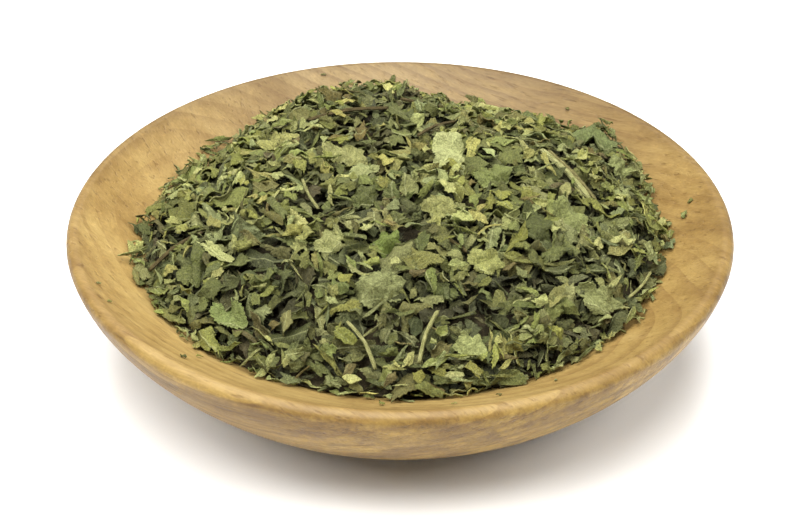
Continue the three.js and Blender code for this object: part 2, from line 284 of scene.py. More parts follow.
def bowl_profile():
    inner = FOOT_RADIUS - FOOT_RING_WIDTH
    foot = [(0.0, FOOT_RECESS), (inner * 0.5, FOOT_RECESS), (inner - 1.0, FOOT_RECESS), (inner - 0.5, 0.6),
            (inner, 0.0), (FOOT_RADIUS - FOOT_CHAMFER, 0.0), (FOOT_RADIUS - 0.3, 0.3)]
    wall = bezier([(FOOT_RADIUS, FOOT_CHAMFER), (FOOT_RADIUS + 13.0, 4.0),
                   (RIM_RADIUS - 2.5, 22.0), (RIM_RADIUS, LIP_CENTRE[1])], 36)
    angle = np.linspace(0.0, LIP_SWEEP, 15)[1:]
    lip = np.array(LIP_CENTRE) + LIP_ROUNDING * np.stack([np.cos(angle), np.sin(angle)], 1)
    radius = HOLLOW_RADIUS * np.linspace(1.0, 0.0, 40)[1:]
    hollow = np.stack([radius, hollow_height(radius)], 1)
    return np.concatenate([foot, wall, lip, hollow])


def turned(profile, sides):
    """A closed solid turned round Z from a profile that starts and ends on the axis."""
    ring = profile[1:-1]
    angle = np.arange(sides) * 2.0 * math.pi / sides
    points = np.empty((len(ring), sides, 3))
    points[..., 0] = ring[:, :1] * np.cos(angle)
    points[..., 1] = ring[:, :1] * np.sin(angle)
    points[..., 2] = ring[:, 1:]
    vertices = np.concatenate([points.reshape(-1, 3), [[0, 0, profile[0, 1]], [0, 0, profile[-1, 1]]]])
    first, last = len(vertices) - 2, len(vertices) - 1
    faces = []
    for row in range(len(ring) - 1):
        for side in range(sides):
            here, after = row * sides + side, row * sides + (side + 1) % sides
            faces.append((here, after, after + sides, here + sides))
    top = (len(ring) - 1) * sides
    for side in range(sides):
        after = (side + 1) % sides
        faces.append((first, after, side))
        faces.append((last, top + side, top + after))
    return vertices, faces


def add_bowl():
    vertices, faces = turned(bowl_profile(), BOWL_SIDES)
    bowl = add_object("turned_bowl", smooth_mesh("turned_bowl", vertices * MM, faces, wood()))
    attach(bowl, "root")
    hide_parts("bowl")


# The wood, in metres
GRAIN_AZIMUTH = math.radians(-35)
GRAIN_WANDER = 0.010
GRAIN_BEND = 16.0  # the scale of the noise by which it wanders
STRETCHES = (0.07, 0.05, 0.14)  # of places along the grain, which draws out its bands, fibres and pores
RINGS_PER_METRE = 300.0
PITH_AWAY = (0.0, 0.018, 0.048)
HOLLOW_START = 0.0096
HOLLOW_DEPTHS_PER_METRE = 39.0
HOLLOW_REACH = 0.0732
HOLLOW_CURVE = 0.5376  # 1 / HOLLOW_POWER
WOOD_TONES = [(0.36, linear(124, 99, 53)), (0.45, linear(143, 118, 68)),
              (0.54, linear(157, 133, 80)), (0.64, linear(168, 145, 93))]
LATE_WOOD = (*linear(108, 78, 40), 1.0)


def grain_places(n, place):
    """The place along the gently bent grain, stretched as bands, as fibres and as pores are."""
    turned_place = n.add("Mapping", {"Vector": place, "Rotation": (0.0, 0.0, -GRAIN_AZIMUTH)}).outputs[0]
    wander = n.times(n.math("SUBTRACT", n.noise(place, GRAIN_BEND), 0.5), GRAIN_WANDER)
    bent_place = n.vector("ADD", turned_place, n.add("CombineXYZ", {1: wander, 2: wander}).outputs[0])
    return [n.stretched(bent_place, (along, 1.0, 1.0)) for along in STRETCHES]


def outer_wall(n, radius, z):
    """1 on the bowl's outer wall, which lies further out than the hollow at the same height, and 0 inside."""
    part = n.times(n.math("SUBTRACT", z, HOLLOW_START), HOLLOW_DEPTHS_PER_METRE)
    hollow_radius = n.math("POWER", n.math("MAXIMUM", part, 0.0), HOLLOW_CURVE)
    beyond = n.math("SUBTRACT", radius, n.times(hollow_radius, HOLLOW_REACH))
    return n.times(n.grey(z, 0.0362, 0.0345), n.grey(beyond, 0.0006, 0.0016))


def growth_rings(n, band_place):
    """The darker late wood of rings round a pith below the bowl."""
    from_pith = n.vector("ADD", band_place, PITH_AWAY)
    distance = n.add("VectorMath", {0: from_pith}, operation="LENGTH").outputs["Value"]
    ring = n.math("FRACT", n.times(distance, RINGS_PER_METRE))
    return n.times(n.grey(ring, 0.45, 0.95), n.grey(ring, 1.0, 0.97))


def wood():
    """Golden hardwood cut across a log whose axis lies level: long streaks on the sides that run along the
    log, and specks of end grain on the sides that face its ends."""
    n = Nodes("bowl_wood")
    place = n.add("TexCoord").outputs["Object"]
    band_place, fibre_place, pore_place = grain_places(n, place)
    x, y, z = n.add("SeparateXYZ", {0: place}).outputs
    radius = n.math("SQRT", n.plus(n.math("POWER", x, 2.0), n.math("POWER", y, 2.0)))
    wall = outer_wall(n, radius, z)
    hollow = n.math("SUBTRACT", 1.0, wall)
    # above_floor marks where painted shade greys the back of the hollow
    above_floor = n.grey(z, 0.016, 0.022)
    # lip marks where painted shade dulls the lamps' highlight along the rim
    lip = n.times(n.grey(z, 0.0315, 0.035), n.grey(radius, 0.071, 0.0735))
    worn = n.times(wall, n.grey(x, -0.074, -0.058, 0.35, 1.0))

    bands = n.noise(band_place, 75.0, 4.0, 0.6)
    patches = n.noise(place, 19.0, 3.0, 0.6)
    cloud = n.noise(place, 150.0, 4.0, 0.7)
    coarse = n.noise(fibre_place, 800.0, 4.0, 0.7)
    fine = n.noise(pore_place, 2400.0, 2.0, 0.6)
    pores = n.noise(pore_place, 1150.0)
    specks = n.noise(place, 620.0, 2.0, 0.6)
    smudge = n.noise(band_place, 52.0, 4.0, 0.7)
    streak = n.noise(fibre_place, 260.0, 4.0, 0.7)
    blotch = n.noise(band_place, 210.0, 4.0, 0.75)
    rough = n.noise(place, 900.0, 3.0, 0.7)

    tone = n.plus(n.times(bands, 0.5), n.times(patches, 0.3))
    tone = n.plus(tone, n.times(cloud, 0.2))
    ring_depth = n.plus(n.grey(patches, 0.35, 0.6, 0.12, 0.4), n.times(wall, 0.10))
    late_wood = n.times(growth_rings(n, band_place), ring_depth)
    color = n.mix(late_wood, n.ramp(tone, WOOD_TONES), LATE_WOOD)
    # What multiplies the colour, by which pattern, from where to where in it and how much there, and on what.
    for factors, pattern, span, where in (
            ((0.72, 0.68, 0.60), coarse, (0.34, 0.62, 0.42, 0.0), 1.0),
            ((0.74, 0.71, 0.64), fine, (0.36, 0.60, 0.55, 0.0), 1.0),
            ((0.55, 0.47, 0.38), pores, (0.62, 0.70, 0.0, 0.55), 1.0),
            ((1.32, 1.30, 1.24), specks, (0.56, 0.72, 0.0, 0.4), 1.0),
            # The outside: duller patches, dark streaks, the blotches and specks of rough end grain, and
            # all of it brighter and more golden
            ((0.58, 0.52, 0.25), smudge, (0.42, 0.58, 0.5, 1.0), worn),
            ((0.60, 0.52, 0.40), streak, (0.50, 0.62, 0.0, 0.8), wall),
            ((0.74, 0.70, 0.56), blotch, (0.44, 0.58, 0.0, 0.75), wall),
            ((0.76, 0.72, 0.66), rough, (0.42, 0.60, 0.0, 0.7), wall),
            ((1.21, 1.19, 0.98), wall, (0.0, 1.0), 1.0),
            # The hollow richer towards its right; paler towards its left, partly paler wood and partly
            # painted light against the heap's shade there;
            # the bowl above its floor greyer towards the back, a painted shade; and the lip duller, a painted
            # shade over its highlight
            ((0.81, 0.76, 0.67), x, (0.0, 0.06, 0.0, 0.8), hollow),
            # paler wood, and painted light that lifts the heap's shade on the hollow's left
            ((1.11, 1.11, 1.14), x, (-0.02, -0.052), hollow),
            # painted shade: the back of the hollow greyed where the key light falls full on it
            ((0.64, 0.62, 0.69), y, (0.015, 0.06, 0.0, 0.9), above_floor),
            # painted shade: the lip dulled, most on the left, to tone down the lamps' highlight along it
            ((0.80, 0.78, 0.78), x, (-0.02, -0.06, 0.6, 1.0), lip)):
        color = n.tinted(color, factors, n.times(n.grey(pattern, *span), where))
    n.give(n.shader, "Base Color", color)
    n.give(n.shader, "Roughness", n.grey(coarse, 0.3, 0.7, 0.44, 0.60))
    n.give(n.shader, "Specular IOR Level", 0.35)
    relief = n.plus(n.times(coarse, 0.7), n.times(fine, 0.5))
    relief = n.plus(relief, n.times(n.grey(pores, 0.60, 0.70), -0.8))
    n.give(n.shader, "Normal", n.bump(relief, 0.4, 0.0003))
    return n.material


# ---- the map of heights ----


class Heights:
    """The cells of a map over the bowl, and where the middle of each one lies."""

    def __init__(self, half):
        self.half = half
        self.count = int(2 * half / GRID_STEP)
        axis = (np.arange(self.count) + 0.5) * GRID_STEP - half
        self.x, self.y = np.meshgrid(axis, axis, indexing="ij")
        self.radius = np.hypot(self.x, self.y)

    def cells(self, x, y):
        i = np.clip(((x + self.half) / GRID_STEP).astype(int), 0, self.count - 1)
        j = np.clip(((y + self.half) / GRID_STEP).astype(int), 0, self.count - 1)
        return i, j


def smoothed(field, cells):
    """A field blurred over that many cells each way, twice."""
    result = field
    width = 2 * cells + 1
    for _ in range(2):
        for axis in (0, 1):
            padding = [(cells, cells) if a == axis else (0, 0) for a in (0, 1)]
            padded = np.pad(result, padding, mode="edge")
            total = np.cumsum(padded, axis=axis)
            total = np.insert(total, 0, 0.0, axis=axis)
            upper = np.take(total, range(width, total.shape[axis]), axis=axis)
            lower = np.take(total, range(0, total.shape[axis] - width), axis=axis)
            result = (upper - lower) / width
    return result


# ---- flakes ----


def turn_about(axis, angle):
    """Rotation matrices about axes, one for each angle."""
    axis = axis / np.linalg.norm(axis, axis=-1, keepdims=True)
    x, y, z = axis[..., 0], axis[..., 1], axis[..., 2]
    zero = np.zeros_like(x)
    cross = np.stack([zero, -z, y, z, zero, -x, -y, x, zero], -1).reshape(*x.shape, 3, 3)
    sine = np.sin(angle)[..., None, None]
    rest = (1.0 - np.cos(angle))[..., None, None]
    return np.eye(3) + sine * cross + rest * (cross @ cross)


class Sheet:
    """How a thin closed leaf shape is made up: rings of points round a middle, with a top, an under side
    and a narrow edge face between them. Each face corner knows where it lies on the leaf's colour map."""

    def __init__(self, points, rings):
        self.points = points
        self.rings = rings
        part = np.linspace(0.0, 1.0, rings + 1)[1:]
        self.part = np.concatenate([[0.0], np.repeat(part, points)])
        self.count = len(self.part)
        top = []
        for i in range(points):
            after = (i + 1) % points
            top.append((0, 1 + i, 1 + after))
            for ring in range(rings - 1):
                a, b = 1 + ring * points + i, 1 + ring * points + after
                c, d = a + points, b + points
                top.extend([(a, c, d), (a, d, b)])
        self.top = np.array(top)
        self.first_edge = 1 + (rings - 1) * points
        edge = []
        for i in range(points):
            a, b = self.first_edge + i, self.first_edge + (i + 1) % points
            edge.extend([(a, a + self.count, b + self.count), (a, b + self.count, b)])
        edge = np.array(edge)
        self.faces = np.concatenate([self.top, self.top[:, ::-1] + self.count, edge])
        corner = self.faces.ravel()
        self.map_point = corner % self.count
        on_edge = np.zeros(len(corner), bool)
        on_edge[len(self.top) * 6:] = True
        self.map_under = (corner >= self.count) & ~on_edge
        self.map_reach = np.where(on_edge & (corner >= self.count), 1.09, 1.0)
        self.loop_class = np.zeros(self.count * 2, np.int8)
        self.loop_class[self.first_edge:self.count] = 1
        self.loop_class[self.count + self.first_edge:] = 2


DEEP = Sheet(12, 1)
SLIVER = Sheet(12, 1)
SMALL = Sheet(14, 1)
MIDDLE = Sheet(16, 2)
MEDIUM = Sheet(24, 4)
LARGE = Sheet(44, 5)
FINE = Sheet(60, 9)


LEAF_MAP_SCALE = 0.1  # of a leaf's map to a millimetre
BAKE_CELL_FILL = 0.43  # of a cell of the colour map, from its middle to the flake's furthest point


def turn_apart(angle, place):
    """How far angles lie from a place, the shorter way round."""
    return np.abs((angle - place + math.pi) % (2 * math.pi) - math.pi)


def torn_outline(rng, points, length, width, tooth):
    """Where a flake's edge lies in its own plane: a fragment with a few straight torn or cut sides that meet
    in sharp corners, some of its edge toothed and sometimes a notch."""
    sides = int(rng.integers(3, 6))
    headings = (np.arange(sides) + rng.uniform(-0.45, 0.45, sides)) * 2.0 * math.pi / sides
    sizes = rng.uniform(0.5, 0.95, sides)
    notches = [(rng.uniform(0, 2 * math.pi), rng.uniform(0.1, 0.5), rng.uniform(0.15, 0.5))
               for _ in range(int(rng.integers(0, 3)))]

    def reach_at(angle):
        facing = np.cos(angle[:, None] - headings[None])
        reach = np.minimum(np.where(facing > 0.05, sizes / np.maximum(facing, 0.05), 9.0).min(1), 1.3)
        for place, depth, spread in notches:
            reach = reach * (1.0 - depth * np.maximum(0.0, 1.0 - turn_apart(angle, place) / spread))
        return reach

    fine = np.arange(240) * 2.0 * math.pi / 240
    far = reach_at(fine)
    corners = fine[(far > np.roll(far, 1)) & (far >= np.roll(far, -1))].tolist()
    corners += [notch[0] for notch in notches]
    angle = (np.arange(points) + rng.uniform(-0.25, 0.25, points)) * 2.0 * math.pi / points
    for corner in corners:
        angle[np.argmin(turn_apart(angle, corner))] = corner
    angle = np.sort(angle % (2 * math.pi))
    toothed = np.cos(angle - rng.uniform(0, 2 * math.pi)) > rng.uniform(-0.9, 0.6)
    bitten = np.where(np.arange(points) % 2 == 1, 1.0 - tooth * rng.uniform(0.2, 1.5, points), 1.0)
    reach = reach_at(angle) * np.where(toothed, bitten, rng.uniform(0.95, 1.04, points))
    u = 0.5 * length * reach * np.cos(angle)
    v = 0.5 * width * reach * np.sin(angle) * (1.0 - rng.uniform(0.0, 0.5) * np.cos(angle))
    return u, v


def creases(rng, u, v, size, depth, number):
    """Sharp little folds across a leaf: up and down by turns, in several directions."""
    height = np.zeros_like(u)
    for _ in range(number):
        heading = rng.uniform(0, 2 * math.pi)
        wavelength = rng.uniform(0.4, 1.5) * size
        phase = (u * math.cos(heading) + v * math.sin(heading)) / wavelength + rng.uniform(0, 1)
        height += depth * wavelength * rng.uniform(0.3, 1.0) * np.abs((phase % 1.0) - 0.5) * 4
    return height


def filled_in(sheet, u, v):
    """The flat places of a sheet's points inside an outline."""
    return np.stack([np.concatenate([[0.0], np.tile(w, sheet.rings)]) * sheet.part for w in (u, v)], 1)


def crumpled(rng, sheet, u, v, fold, ruffle, crinkle, curl_radius, twist):
    """The outline filled in and bent: folded along its midrib, ruffled at its edge, creased, curled and
    twisted. Returns the bent and the flat middle surface."""
    flat = filled_in(sheet, u, v)
    ring_u, ring_v = flat[:, 0], flat[:, 1]
    size = max(np.hypot(u, v).max(), 1e-3)
    height = fold * (np.sqrt(ring_v ** 2 + 0.04) - 0.2)
    around = np.arctan2(ring_v, ring_u)
    for wave in (2, 3, 5):
        amount = ruffle * size * rng.uniform(0.3, 1.0) / wave ** 0.5
        height = height + amount * sheet.part ** 2 * np.sin(wave * around + rng.uniform(0, 2 * math.pi))
    height = height + creases(rng, ring_u, ring_v, size, crinkle, 4)
    height -= height.mean()
    heading = rng.uniform(0, math.pi)
    along = ring_u * math.cos(heading) + ring_v * math.sin(heading)
    aside = -ring_u * math.sin(heading) + ring_v * math.cos(heading)
    angle = along / curl_radius
    bent_along = (curl_radius - height) * np.sin(angle)
    bent_height = curl_radius - (curl_radius - height) * np.cos(angle)
    roll = twist * bent_along / size
    bent_aside = aside * np.cos(roll) - bent_height * np.sin(roll)
    bent_height = aside * np.sin(roll) + bent_height * np.cos(roll)
    x = bent_along * math.cos(heading) - bent_aside * math.sin(heading)
    y = bent_along * math.sin(heading) + bent_aside * math.cos(heading)
    return np.stack([x, y, bent_height], 1), flat


def thickened(sheet, middle, thickness):
    """The top and under side of a bent sheet, half its thickness each way along its own normals."""
    corners = middle[sheet.top]
    normal = np.cross(corners[:, 1] - corners[:, 0], corners[:, 2] - corners[:, 0])
    total = np.zeros_like(middle)
    for k in range(3):
        np.add.at(total, sheet.top[:, k], normal)
    total /= np.linalg.norm(total, axis=1, keepdims=True) + 1e-9
    return np.concatenate([middle + total * thickness / 2, middle - total * thickness / 2])


def add_map(mesh, name, places):
    layer = mesh.uv_layers.new(name=name)
    layer.data.foreach_set("uv", np.asarray(places, np.float32).ravel())


class Gathered:
    """Flakes that are made into one mesh, each with its own colour and its own cells of the colour map."""

    def __init__(self, name):
        self.name = name
        self.points, self.faces, self.tints, self.flats = [], [], [], []
        self.sheets = []
        self.total = 0

    def add(self, sheet, points, flat, tint, under_tint):
        sides = [np.tile(color, (sheet.count, 1)) for color in (tint, under_tint)]
        self.points.append(points)
        self.faces.append(sheet.faces + self.total)
        self.tints.append(np.concatenate(sides))
        self.flats.append(flat)
        self.sheets.append(sheet)
        self.total += 2 * sheet.count

    def make(self, material):
        faces = np.concatenate(self.faces)
        mesh = smooth_mesh(self.name, np.concatenate(self.points) * MM, faces, material)
        edges = np.empty(len(mesh.edges) * 2, np.int32)
        mesh.edges.foreach_get("vertices", edges)
        ends = np.concatenate([sheet.loop_class for sheet in self.sheets])[edges.reshape(-1, 2)]
        sharp = (ends[:, 0] == ends[:, 1]) & (ends[:, 0] > 0)
        mesh.attributes.new("sharp_edge", "BOOLEAN", "EDGE").data.foreach_set("value", sharp)
        tint = mesh.color_attributes.new("tint", "FLOAT_COLOR", "POINT")
        tint.data.foreach_set("color", np.concatenate(self.tints).astype(np.float32).ravel())
        add_map(mesh, "leaf", self.leaf_map())
        add_map(mesh, "OFBake", self.bake_map())
        piece = add_object(self.name, mesh)
        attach(piece, "root")
        return piece

    def leaf_map(self):
        """Where each face corner lies on its leaf, for the veins and mottles."""
        leaves = enumerate(zip(self.sheets, self.flats))
        return np.concatenate([(flat * LEAF_MAP_SCALE + self.offset(number))[sheet.map_point]
                               for number, (sheet, flat) in leaves])

    def bake_map(self):
        """Where each face corner lies on the colour map: every side of every flake has a square cell."""
        cells = max(1, math.ceil(math.sqrt(2 * len(self.sheets))))
        cells += cells % 2
        places = []
        for number, (sheet, flat) in enumerate(zip(self.sheets, self.flats)):
            spread = flat / np.abs(flat).max() * BAKE_CELL_FILL
            cell = 2 * number + sheet.map_under
            corner = np.stack([cell % cells, cell // cells], 1)
            places.append((corner + 0.5 + spread[sheet.map_point] * sheet.map_reach[:, None]) / cells)
        return np.concatenate(places)

    def offset(self, number):
        """Moves the vein pattern about, so that only some flakes are cut from beside a midrib."""
        shift = np.random.default_rng(OFFSET_SEED + number).uniform(-0.35, 0.35, 2)
        return np.array([3.0 * shift[0] + number % 17, shift[1]])


# ---- leaf colours ----

LEAF_TINTS = {
    "green": [(110, 117, 61), (118, 125, 68), (101, 112, 60), (122, 126, 70), (110, 120, 72)],
    "pale": [(150, 157, 102), (143, 152, 101), (160, 166, 114), (153, 154, 93), (136, 147, 102)],
    "dark": [(88, 95, 48), (95, 101, 53), (82, 89, 45), (94, 93, 50), (86, 95, 54)],
    "brown": [(106, 98, 56), (120, 110, 66), (92, 84, 48)],
}
VEIN_COLOR = (0.40, 0.41, 0.19, 1.0)


def flake_tint(rng, family):
    """The colours of a flake's two sides, each with how plainly its veins show."""
    options = LEAF_TINTS[family]
    base = np.array(linear(*options[int(rng.integers(len(options)))]))
    lightest, blue = (1.04, 0.80) if family == "pale" else (1.22, 0.64)
    light = rng.uniform(0.70, lightest)
    warm = rng.normal(0.0, 0.03)
    color = base * light * np.array([1.07 + warm, 1.0, blue - warm])
    under = color * rng.uniform(1.0, 1.35) + 0.01
    veins = rng.uniform(0.1, 1.0)
    return np.append(color, veins), np.append(under, veins)


def leaf_material(name, roughness):
    """Dried leaf: its colour from the flake's own tint, mottled, with paler veins and a crinkled surface."""
    n = Nodes(name)
    tint = n.add("Attribute", attribute_name="tint")
    leaf = n.add("UVMap", uv_map="leaf").outputs[0]
    cloud = n.noise(leaf, 3.2)
    mottle = n.noise(leaf, 13.0, 4.0, 0.65)
    grain = n.noise(leaf, 32.0, 3.0, 0.7)
    parts = n.add("SeparateXYZ", {0: leaf})
    along = n.plus(parts.outputs[0], n.times(mottle, 0.05))
    across = n.math("ABSOLUTE", n.plus(parts.outputs[1], n.times(cloud, 0.05)))
    midrib = n.grey(across, 0.008, 0.026, 1.0, 0.0)
    slanted = n.plus(along, n.times(across, -0.75))
    spacing = n.math("PINGPONG", n.times(slanted, 5.5), 0.5)
    side_veins = n.grey(spacing, 0.02, 0.12, 1.0, 0.0)
    cells = n.add("TexVoronoi", {"Vector": leaf, "Scale": 16.0}, feature="DISTANCE_TO_EDGE")
    net = n.grey(cells.outputs["Distance"], 0.0, 0.09, 1.0, 0.0)
    veins = n.math("MAXIMUM", midrib, n.times(side_veins, n.grey(cloud, 0.4, 0.6, 0.1, 0.5)))
    veins = n.math("MAXIMUM", veins, n.times(net, 0.3))
    veins = n.times(veins, tint.outputs["Alpha"])
    color = n.tinted(tint.outputs["Color"], (0.72, 0.68, 0.62), n.grey(cloud, 0.35, 0.65, 0.0, 0.55))
    color = n.tinted(color, (0.58, 0.6, 0.5), n.grey(mottle, 0.42, 0.62, 0.0, 0.6))
    color = n.mix(n.times(veins, 0.5), color, VEIN_COLOR)
    color = n.tinted(color, (1.45, 1.42, 1.25), n.grey(mottle, 0.44, 0.30, 0.0, 0.5))
    color = n.tinted(color, (0.50, 0.52, 0.44), n.grey(grain, 0.46, 0.62, 0.0, 0.8))
    color = n.tinted(color, (1.26, 1.25, 1.20), n.grey(grain, 0.46, 0.34, 0.0, 0.8))
    n.give(n.shader, "Base Color", color)
    n.give(n.shader, "Roughness", n.grey(mottle, 0.3, 0.7, roughness - 0.08, roughness + 0.1))
    n.give(n.shader, "Specular IOR Level", 0.42)
    relief = n.plus(n.times(veins, 0.35), n.plus(mottle, n.times(grain, 0.3)))
    n.give(n.shader, "Normal", n.bump(relief, 1.0, 0.0009))
    return n.material


# ---- the heap's form, as the CAD makes it ----

HEAP_RADIUS = 61.0
HEAP_SHIFT = 0.8
HEAP_OVAL = 0.4
HEAP_BULGE = (33.0, 3.5, 13.0)  # its angle, reach and spread
HEAP_EDGE_DEPTH = 1.0
HEAP_PEAK = 48.0
HEAP_POWER = 3.0
HEAP_SWELLS = [(-12, 46, 4, 13), (54, 35, 4.5, 6.5), (28, 34, -3, 10), (-50, 22, -5, 9)]  # x, y, rise, spread
SLOPE_STEP = 1.5

# Gaps between the loose flakes: x, y, spread and depth
HOLLOWS = [(16.0, -37.0, 5.0, 2.6), (3.0, -31.0, 3.5, 2.0), (27.0, -33.0, 4.0, 1.8), (-14.0, -15.0, 4.0, 1.6),
           (-30.0, -24.0, 4.0, 1.6), (-2.0, -50.0, 3.0, 1.4)]

# The core
CORE_SIDES = 96
CORE_RINGS = 24
CORE_SETBACK = 3.0
CORE_CLEARANCE = 0.3
CORE_THINNEST = 0.2
# painted shade: the inside of the heap coloured as dark as the shade deep between its flakes
CORE_PAINTED_SHADE_COLOR = (58, 50, 26)


def heap_radius(angle):
    place, reach, spread = HEAP_BULGE
    away = 2 * np.sin(0.5 * (angle - math.radians(place))) / math.radians(spread)
    oval = HEAP_RADIUS + HEAP_SHIFT * np.sin(angle) + HEAP_OVAL * np.cos(2 * angle)
    return oval + reach * np.exp(-0.5 * away ** 2)


def heap_height(x, y):
    edge = heap_radius(np.arctan2(y, x))
    part = np.minimum(np.hypot(x, y) / edge, 1.0)
    edge_height = hollow_height(edge) + HEAP_EDGE_DEPTH
    height = edge_height + (HEAP_PEAK - edge_height) * (1.0 - part ** HEAP_POWER)
    for place_x, place_y, rise, spread in HEAP_SWELLS:
        height = height + rise * np.exp(-0.5 * ((x - place_x) ** 2 + (y - place_y) ** 2) / spread ** 2)
    return height


def heap_normal(x, y):
    step = SLOPE_STEP
    slope_x = (heap_height(x + step, y) - heap_height(x - step, y)) / (2 * step)
    slope_y = (heap_height(x, y + step) - heap_height(x, y - step)) / (2 * step)
    normal = np.array([-slope_x, -slope_y, 1.0])
    return normal / np.linalg.norm(normal)


def add_core():
    """The close-packed inside of the heap, under the loose flakes, painted dark as the shade deep in the
    heap.
    """
    angle = np.arange(CORE_SIDES) * 2 * math.pi / CORE_SIDES
    points = [[0.0, 0.0, 0.0]]
    for ring in np.linspace(0.0, 1.0, CORE_RINGS + 1)[1:]:
        reach = (heap_radius(angle) - CORE_SETBACK) * ring
        points.extend(np.stack([reach * np.cos(angle), reach * np.sin(angle), angle * 0], 1).tolist())
    points = np.array(points)
    top, under = points.copy(), points.copy()
    floor = hollow_height(np.hypot(points[:, 0], points[:, 1])) + CORE_CLEARANCE
    under[:, 2] = floor
    top[:, 2] = np.maximum(heap_height(points[:, 0], points[:, 1]) - LOOSE_DEPTH, floor + CORE_THINNEST)
    core = Gathered("parsley_core")
    tint = np.append(linear(*CORE_PAINTED_SHADE_COLOR), 0.0)
    core.add(Sheet(CORE_SIDES, CORE_RINGS), np.concatenate([top, under]), points[:, :2], tint, tint)
    piece = core.make(leaf_material("leaf_core_painted_shade", roughness=0.9))
    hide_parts("parsley_heap")


# ---- the loose flakes ----

# A sort of flake: its sheet, its share of the flakes, how long it is, how wide as a part of that, and how
# deep its teeth are
Sort = namedtuple("Sort", "sheet share lengths widths tooth")
# A layer of flakes: how far below the heap's surface it ends, how many flakes at most, how light its flakes
# are painted, what share of them is in each of the FAMILIES of colours, and its sorts of flake
Layer = namedtuple("Layer", "depth most light shares sorts")
FAMILIES = ("green", "pale", "dark")
DEEP_SORTS = [Sort(DEEP, 1.0, (6.0, 10.0), (0.5, 0.8), 0.15)]
MIDDLE_SORTS = [
    Sort(MIDDLE, 0.25, (4.0, 7.0), (0.3, 0.7), 0.15),
    Sort(SMALL, 0.40, (1.8, 4.8), (0.3, 0.7), 0.18),
    Sort(SLIVER, 0.35, (3.0, 8.5), (0.1, 0.22), 0.12),
]
TOP_SORTS = [
    Sort(LARGE, 0.26, (7.0, 11.0), (0.34, 0.66), 0.24),
    Sort(MEDIUM, 0.42, (3.8, 7.8), (0.32, 0.70), 0.24),
    Sort(SMALL, 0.12, (2.0, 4.2), (0.35, 0.75), 0.18),
    Sort(SLIVER, 0.20, (4.0, 9.5), (0.09, 0.2), 0.12),
]
# The deeper layers are painted darker and hold more dark flakes: painted shade in the gaps between the flakes
# above them.
LAYERS = [
    Layer(3.4, 1700, 0.18, (0.45, 0.15, 0.40), DEEP_SORTS),
    Layer(2.2, 2600, 0.28, (0.45, 0.22, 0.33), MIDDLE_SORTS),
    Layer(0.0, 3600, 0.74, (0.46, 0.33, 0.21), TOP_SORTS),
]
# The deeper flakes painted browner than the top ones: a painted warm shade, as of light bounced about in the
# gaps.
TOP_HUE = (1.0, 0.99, 0.97)
DEEP_PAINTED_SHADE_HUE = (0.98, 0.97, 0.84)
BROWN_SHARE = 0.03
# Painted light and shade: a flake is painted lighter the higher it stands over the heap's surface and darker
# the lower it lies in it.
RAISED_PAINTED_LIGHT = 0.52  # how much lighter a flake is that stands a millimetre above the heap's surface
# Painted shade: the flakes low in front of the heap are painted darker.
LOW_FRONT_PAINTED_SHADE = 0.14  # how much darker the flakes low in front are
SPARE_PLACES = 60
PLACE_TRIES = 5
WAYS_TO_LIE = 3
STEEPEST = 88.0

# Flakes along the foot of the heap's edge, on it, and crumbs on the bowl's wall beside it
FOOT_FLAKES = 620
EDGE_TIPS = 330
CRUMBS = 14
CRUMB_SORTS = [Sort(SMALL, 1.0, (1.0, 2.6), (0.35, 0.8), 0.2)]
FOOT_SORTS = [
    Sort(MIDDLE, 1.0, (3.0, 5.5), (0.3, 0.7), 0.15),
    Sort(SLIVER, 1.0, (3.0, 7.0), (0.1, 0.24), 0.12),
]
TIP_SORTS = FOOT_SORTS + [Sort(MEDIUM, 1.0, (5.0, 8.0), (0.25, 0.5), 0.16)]
EDGE_PROBE = 55.0
WALL_NORMAL = (0.5, 0.87)  # how far the bowl's wall faces inwards and upwards
FRINGE_SHARES = (0.42, 0.34, 0.24)
FRINGE_SHADE = (0.9, 0.89, 0.87, 1.0)

# The map of heights that they come to rest on, in millimetres
MAP_HALF = 80.0
EDGE_WAVES = (5, 8, 13, 21, 34)
EDGE_SPREAD = 3.0  # how far beyond the heap's edge its flakes can still be high
HEADROOM = 2.6  # over the form that the heap is meant to have
WALL_HEADROOM = 0.8
LEAST_COVER = 0.5
SUNK_DEPTH = 1.6  # of the larger pieces that flakes can lie over
PIECE_GAP = 0.1
BESIDE_PIECES = 1.0  # how much lower the flakes beside the larger pieces end

# Places in a triangle, each as parts of its three corners
IN_TRIANGLE = np.array([(1 / 3, 1 / 3, 1 / 3), (0.6, 0.2, 0.2), (0.2, 0.6, 0.2), (0.2, 0.2, 0.6),
                        (0.5, 0.5, 0.0), (0.0, 0.5, 0.5), (0.5, 0.0, 0.5)])


def make_flake(rng, sort):
    length = rng.uniform(*sort.lengths)
    u, v = torn_outline(rng, sort.sheet.points, length, length * rng.uniform(*sort.widths), sort.tooth)
    curl = rng.uniform(0.4, 1.7) * length * (1 if rng.random() < 0.5 else -1)
    middle, flat = crumpled(rng, sort.sheet, u, v, rng.uniform(-0.8, 1.0), rng.uniform(0.03, 0.15),
                            rng.uniform(0.05, 0.2), curl, rng.uniform(-0.9, 0.9))
    return sort.sheet, middle, flat


